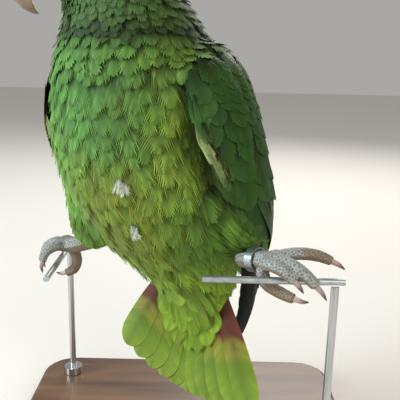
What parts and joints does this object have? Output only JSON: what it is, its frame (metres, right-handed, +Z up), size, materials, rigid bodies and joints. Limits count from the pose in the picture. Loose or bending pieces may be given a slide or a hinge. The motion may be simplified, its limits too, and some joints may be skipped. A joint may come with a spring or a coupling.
{
  "type": "amazon parrot",
  "caption": "Life-size green amazon parrot clinging to two cut lengths of wire, with fanned tail and banded leg, on a flat display stand with rods.",
  "frame": {"origin": "centre of the display base's underside", "axes": "+Z up; the bird's breast faces -Y and a little towards -X; the front perch wire runs along X and the side one along Y"},
  "size_m": [0.214, 0.168, 0.3271],
  "materials": {
    "body_plumage": "small overlapping contour feathers, mid green, yellower on the belly and undertail, yellow and blue on the face",
    "wing_plumage": "long folded feathers, dark green with blackish flight feathers",
    "tail_plumage": "broad flat feathers, red at the base and yellow-green at the tip",
    "bill": "horn, satin",
    "claw": "horn with darker tips, satin",
    "leg_skin": "grey skin of small rounded scales with pale edges",
    "eye": "orange iris under a clear wet surface",
    "ring": "plain flat band, slightly worn",
    "wire": "zinc-plated, dull",
    "rod": "satin",
    "wood": "dark walnut, oiled"
  },
  "bodies": {
    "root": {"beak_lower": "bill", "beak_upper": "bill", "claw_left_hind": "claw", "claw_left_inner": "claw", "claw_left_middle": "claw", "claw_left_outer": "claw", "claw_right_hind": "claw", "claw_right_inner": "claw", "claw_right_middle": "claw", "claw_right_outer": "claw", "eye_left": "eye", "eye_right": "eye", "foot_left": "leg_skin", "foot_right": "leg_skin", "head": "body_plumage", "leg_ring": "ring", "neck": "body_plumage", "perch_wire_front": "wire", "perch_wire_side": "wire", "stand_base": "wood", "stand_rod_front": "rod", "stand_rod_side": "rod", "tail": "tail_plumage", "thigh_left": "body_plumage", "thigh_right": "body_plumage", "trunk": "body_plumage", "vent": "body_plumage", "wing_left": "wing_plumage", "wing_right": "wing_plumage"}
  },
  "joints": []
}
